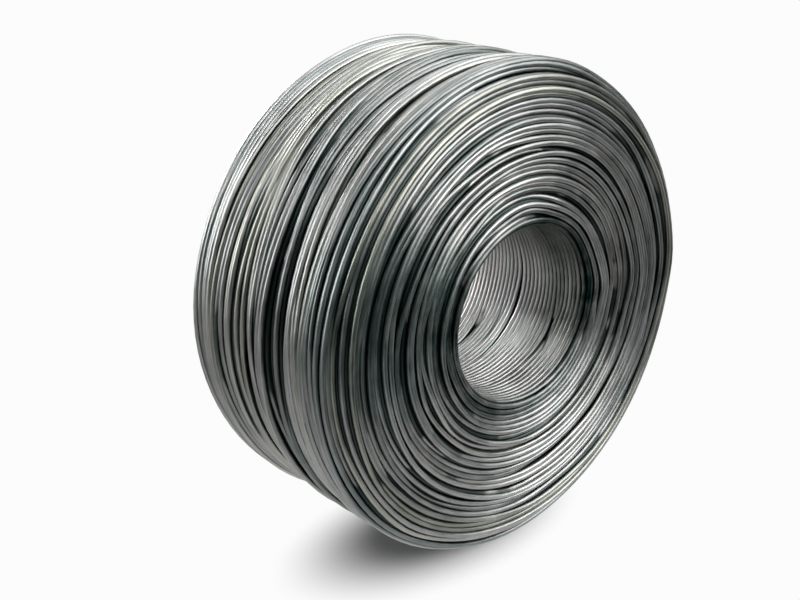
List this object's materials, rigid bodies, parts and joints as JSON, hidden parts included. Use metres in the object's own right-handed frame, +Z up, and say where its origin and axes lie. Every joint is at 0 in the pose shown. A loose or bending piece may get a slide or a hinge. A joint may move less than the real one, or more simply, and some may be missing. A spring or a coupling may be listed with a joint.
{
  "type": "coil of wire rod",
  "caption": "Tightly wound coil of bare steel wire rod with an open bore and rounded shoulders, standing on its rim.",
  "frame": {"origin": "on the floor, straight under the middle of the coil", "axes": "+Y along the bore, +Z up, +X across the bore along the floor"},
  "size_m": [0.51, 0.2392, 0.51],
  "materials": {
    "bare_steel": "bare drawn steel rod, grey with a low sheen and long bright streaks along the turns"
  },
  "bodies": {
    "root": {"wire_rod_coil": "bare_steel"}
  },
  "joints": []
}
